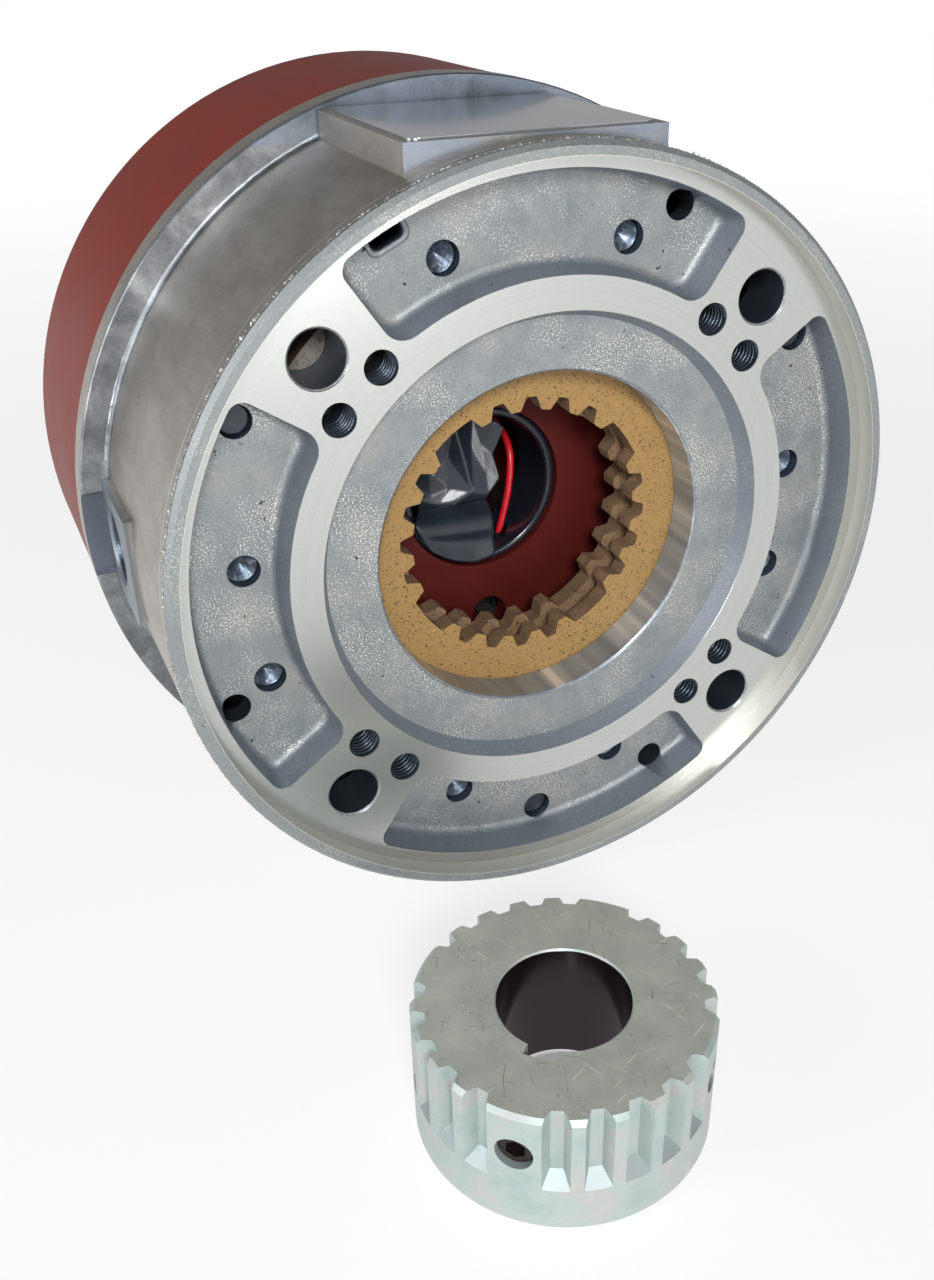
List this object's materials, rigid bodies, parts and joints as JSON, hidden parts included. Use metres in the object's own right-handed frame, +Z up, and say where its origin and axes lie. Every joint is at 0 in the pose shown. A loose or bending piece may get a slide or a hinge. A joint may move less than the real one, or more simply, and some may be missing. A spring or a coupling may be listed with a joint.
{
  "type": "motor brake",
  "caption": "Spring-set electromagnetic disc brake for a motor face, with a cast housing, splined friction discs, a rear can and its separate keyed shaft hub.",
  "frame": {"origin": "centre of the register and bolt circle, on the machined mounting land", "axes": "+Y along the shaft line into the brake, away from the motor; +Z up through the nameplate pad; +X to the right seen from the motor"},
  "size_m": [0.2392, 0.2923, 0.2392],
  "materials": {
    "cast_aluminium": "as cast, sandy, with machined faces",
    "plate_aluminium": "satin sheet",
    "friction_moulding": "moulded friction material, tan with dark specks",
    "plate_steel": "ground steel, worn dark",
    "red_iron": "red oxide paint, satin",
    "coil_resin": "encapsulated winding",
    "spring_steel": "bright",
    "zinc_steel": "zinc plated",
    "black_moulding": "black moulding",
    "black_rubber": "black rubber",
    "red_wire": "red insulation",
    "black_film": "crumpled glossy film",
    "red_can": "red oxide paint, satin",
    "zinc_hub": "pale zinc plating, scratched",
    "black_oxide": "black oxide"
  },
  "bodies": {
    "housing": {"mounting_housing": "cast_aluminium", "nameplate": "plate_aluminium", "magnet_body": "red_iron", "magnet_coil": "coil_resin", "pressure_springs": "spring_steel", "torque_studs": "zinc_steel", "stud_nuts": "zinc_steel", "stud_washers": "zinc_steel", "centre_sleeve": "black_moulding", "lead_grommet": "black_rubber", "lead_wires": "red_wire", "lead_sleeve": "black_film", "can_cover": "red_can", "cover_posts": "zinc_steel", "cover_screws": "zinc_steel", "hub": "zinc_hub", "hub_set_screws": "black_oxide"},
    "front_disc": {"front_friction_disc": "friction_moulding"},
    "rear_disc": {"rear_friction_disc": "friction_moulding"},
    "steel_disc": {"stationary_disc": "plate_steel"},
    "plate": {"pressure_plate": "plate_steel"}
  },
  "joints": [
    {"name": "front_disc_spin", "type": "hinge", "parent": "housing", "child": "front_disc", "pos_m": [0, 0.02117, 0], "axis": [0, 1, 0], "continuous": true},
    {"name": "rear_disc_spin", "type": "hinge", "parent": "housing", "child": "rear_disc", "pos_m": [0, 0.03288, 0], "axis": [0, 1, 0], "continuous": true},
    {"name": "stationary_disc_slide", "type": "slide", "parent": "housing", "child": "steel_disc", "axis": [0, 1, 0], "range_m": [-0.0002, 0.0002]},
    {"name": "pressure_plate_slide", "type": "slide", "parent": "housing", "child": "plate", "axis": [0, 1, 0], "range_m": [0, 0.0008], "stiffness_N_per_m": 15000, "springref_m": -0.01, "deforming": ["pressure_springs"]}
  ],
  "couplings": [
    {"joint": "rear_disc_spin", "follows": "front_disc_spin", "ratio": 1}
  ]
}
